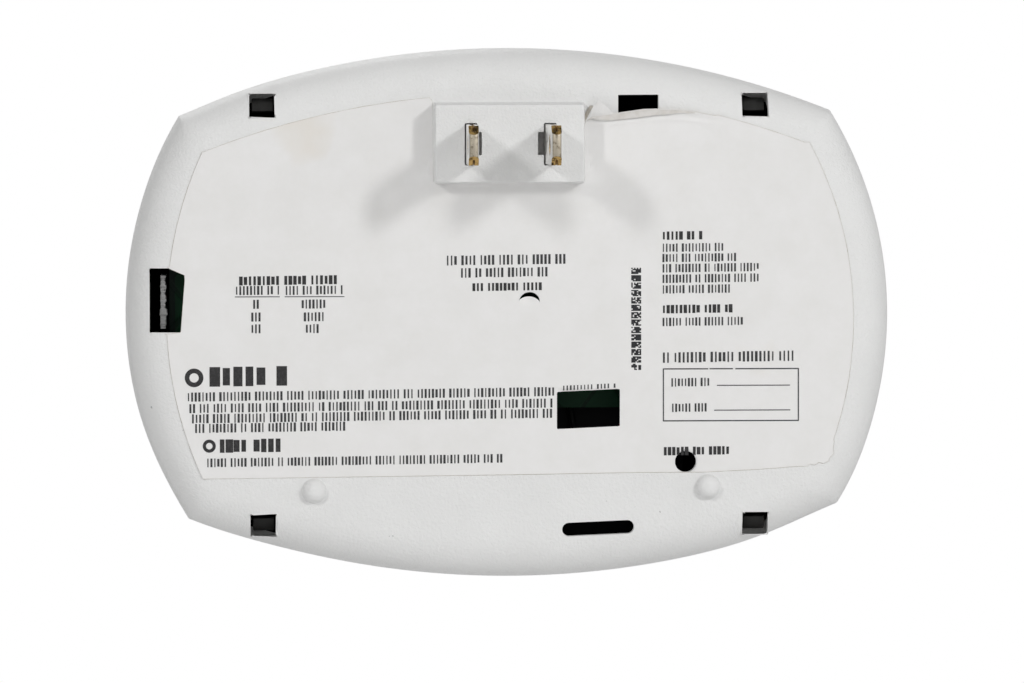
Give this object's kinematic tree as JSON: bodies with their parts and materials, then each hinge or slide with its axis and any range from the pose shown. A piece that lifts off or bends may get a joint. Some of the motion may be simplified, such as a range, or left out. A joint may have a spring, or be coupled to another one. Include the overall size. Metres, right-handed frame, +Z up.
{
  "type": "carbon monoxide detector",
  "caption": "Plug-in carbon monoxide alarm: clipped plastic case with plug blades on its back, test button, status lights, sounder grille and gas vents on its front.",
  "frame": {"origin": "middle of the plug block's face, midway between the two blades, on the face of the outlet", "axes": "+Y along the blades into the wall outlet, +Z up, +X across the case; the front with the test button faces -Y"},
  "size_m": [0.124, 0.056, 0.086],
  "materials": {
    "rear_case": "fine moulded grain, white",
    "front_case": "fine moulded grain, white",
    "label": "satin printed label",
    "blades": "worn nickel plating over brass",
    "carrier": "moulded",
    "board": "green solder mask",
    "chip": "moulded epoxy",
    "capacitor_box": "moulded",
    "varistor_coat": "dipped coating",
    "capacitor_sleeve": "shrunk sleeve",
    "resistor_coat": "lacquer",
    "coil": "enamelled winding",
    "cell_can": "drawn can",
    "cell_cap": "moulded",
    "gasket": "closed-cell foam",
    "pins": "plated",
    "horn": "moulded",
    "disc": "rolled",
    "red_wire": "insulation",
    "black_wire": "insulation",
    "button": "moulded",
    "switch": "moulded",
    "plunger": "moulded",
    "green_light": "tinted epoxy",
    "red_light": "tinted epoxy",
    "clear": "polished clear plastic"
  },
  "bodies": {
    "alarm": {"rear_housing": "rear_case", "front_cover": "front_case", "back_label": "label", "blade_left": "blades", "blade_right": "blades", "blade_carrier": "carrier", "circuit_board": "board", "microcontroller": "chip", "mains_capacitor": "capacitor_box", "varistor": "varistor_coat", "smoothing_capacitor": "capacitor_sleeve", "bypass_capacitor": "capacitor_sleeve", "fusible_resistor": "resistor_coat", "rectifier_diode_1": "chip", "rectifier_diode_2": "chip", "rectifier_diode_3": "chip", "rectifier_diode_4": "chip", "horn_inductor": "coil", "drive_transistor": "chip", "sensor_can": "cell_can", "sensor_cap": "cell_cap", "sensor_gasket": "gasket", "sensor_pin_1": "pins", "sensor_pin_2": "pins", "horn_base": "horn", "horn_cap": "horn", "piezo_disc": "disc", "horn_lead_red": "red_wire", "horn_lead_black": "black_wire", "switch_body": "switch", "power_led": "green_light", "alarm_led": "red_light", "power_light_pipe": "clear", "alarm_light_pipe": "clear"},
    "button": {"test_button": "button"},
    "plunger": {"switch_plunger": "plunger"}
  },
  "joints": [
    {"name": "button_press", "type": "slide", "parent": "alarm", "child": "button", "axis": [0, 1, 0], "range_m": [0, 0.0005], "stiffness_N_per_m": 1600},
    {"name": "plunger_press", "type": "slide", "parent": "alarm", "child": "plunger", "axis": [0, 1, 0], "range_m": [0, 0.0005]}
  ],
  "couplings": [
    {"joint": "plunger_press", "follows": "button_press", "ratio": 1}
  ]
}
